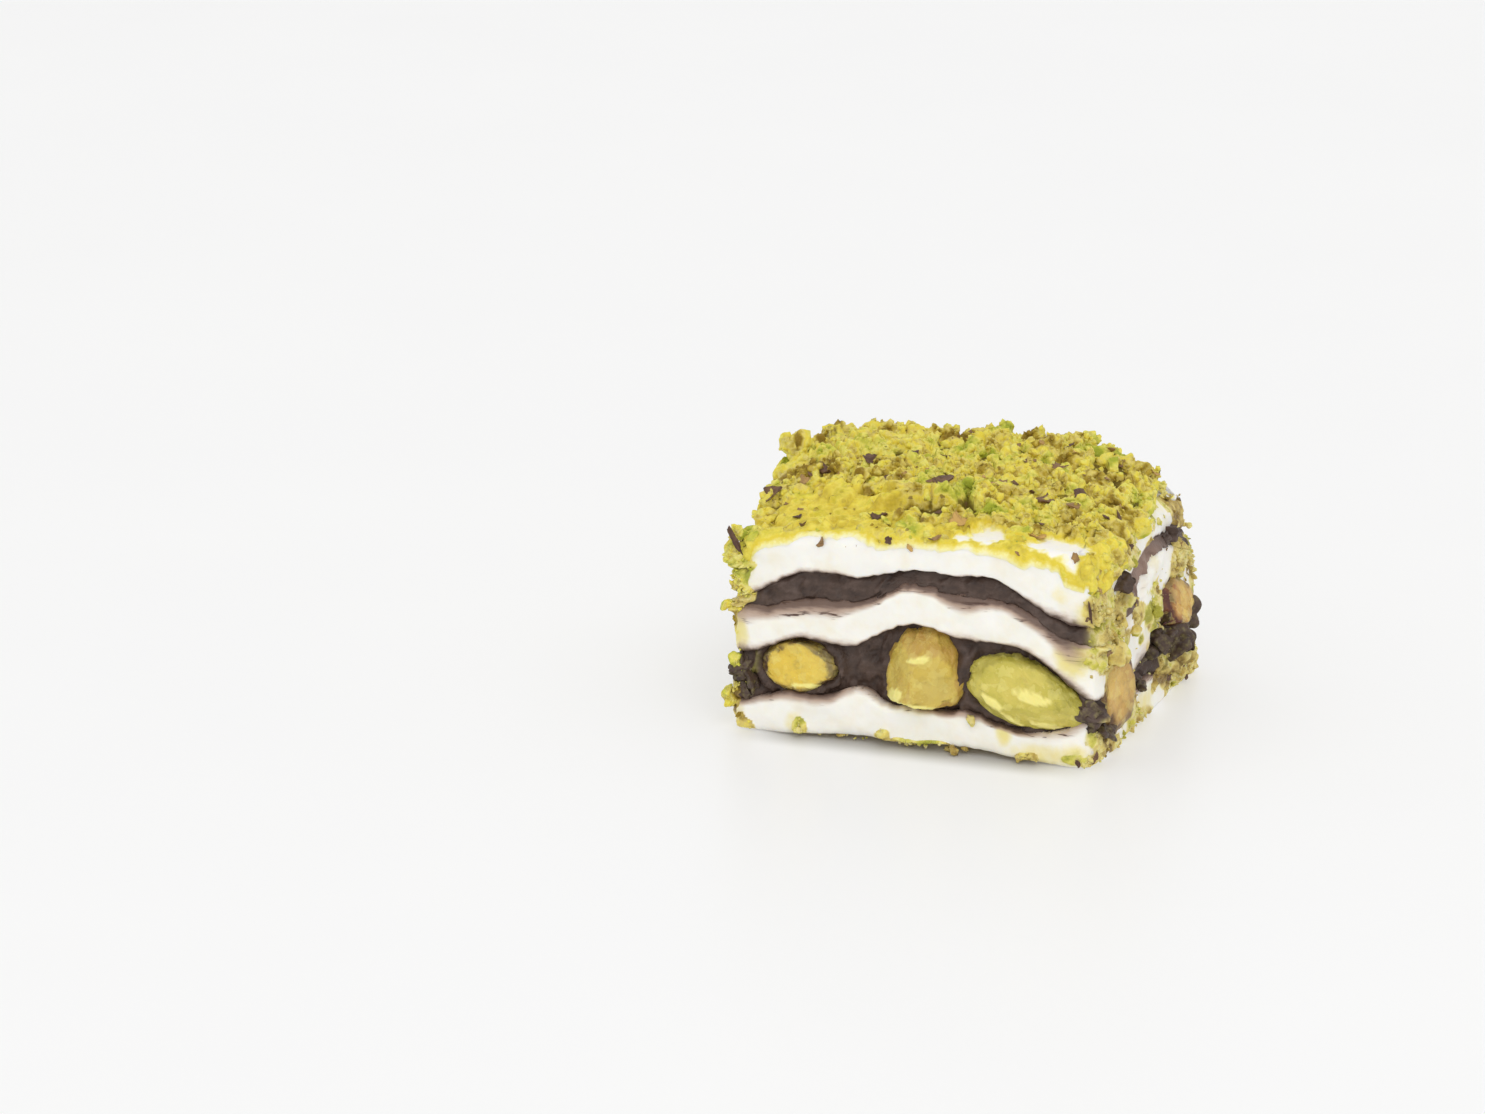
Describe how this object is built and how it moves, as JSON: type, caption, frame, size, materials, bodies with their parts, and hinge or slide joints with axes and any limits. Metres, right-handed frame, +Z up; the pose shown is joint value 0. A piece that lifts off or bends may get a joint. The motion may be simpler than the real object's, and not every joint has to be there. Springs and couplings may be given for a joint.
{
  "type": "layered pistachio and chocolate lokum piece",
  "caption": "Bite-sized block of soft white lokum sheets with chocolate fillings and whole pistachios between them, coated on top with crushed pistachio.",
  "frame": {"origin": "middle of the piece's box on the surface that it rests on", "axes": "+Z up, +X to the right of the front cut face, -Y out of the front cut face"},
  "size_m": [0.0514, 0.0398, 0.0288],
  "materials": {
    "lokum": "soft white lokum, faintly satin, a little translucent",
    "chocolate": "dark chocolate paste, satin where it was cut",
    "crushed_pistachio": "crushed pistachio, matt and crumbly, yellow-green with brown flecks of skin",
    "pistachio_kernel": "whole pistachio kernel, satin, yellow-green where cut and brown where skinned"
  },
  "bodies": {
    "root": {"bottom_lokum_sheet": "lokum", "middle_lokum_sheet": "lokum", "top_lokum_sheet": "lokum", "lower_chocolate_filling": "chocolate", "upper_chocolate_filling": "chocolate", "crushed_pistachio_coat": "crushed_pistachio", "pistachio_front_left": "pistachio_kernel", "pistachio_front_middle": "pistachio_kernel", "pistachio_front_right": "pistachio_kernel", "pistachio_right_front": "pistachio_kernel", "pistachio_right_back": "pistachio_kernel", "pistachio_back_right": "pistachio_kernel", "pistachio_back_middle": "pistachio_kernel", "pistachio_back_left": "pistachio_kernel", "pistachio_left_front": "pistachio_kernel", "pistachio_left_back": "pistachio_kernel", "pistachio_upper_back": "pistachio_kernel"}
  },
  "joints": []
}
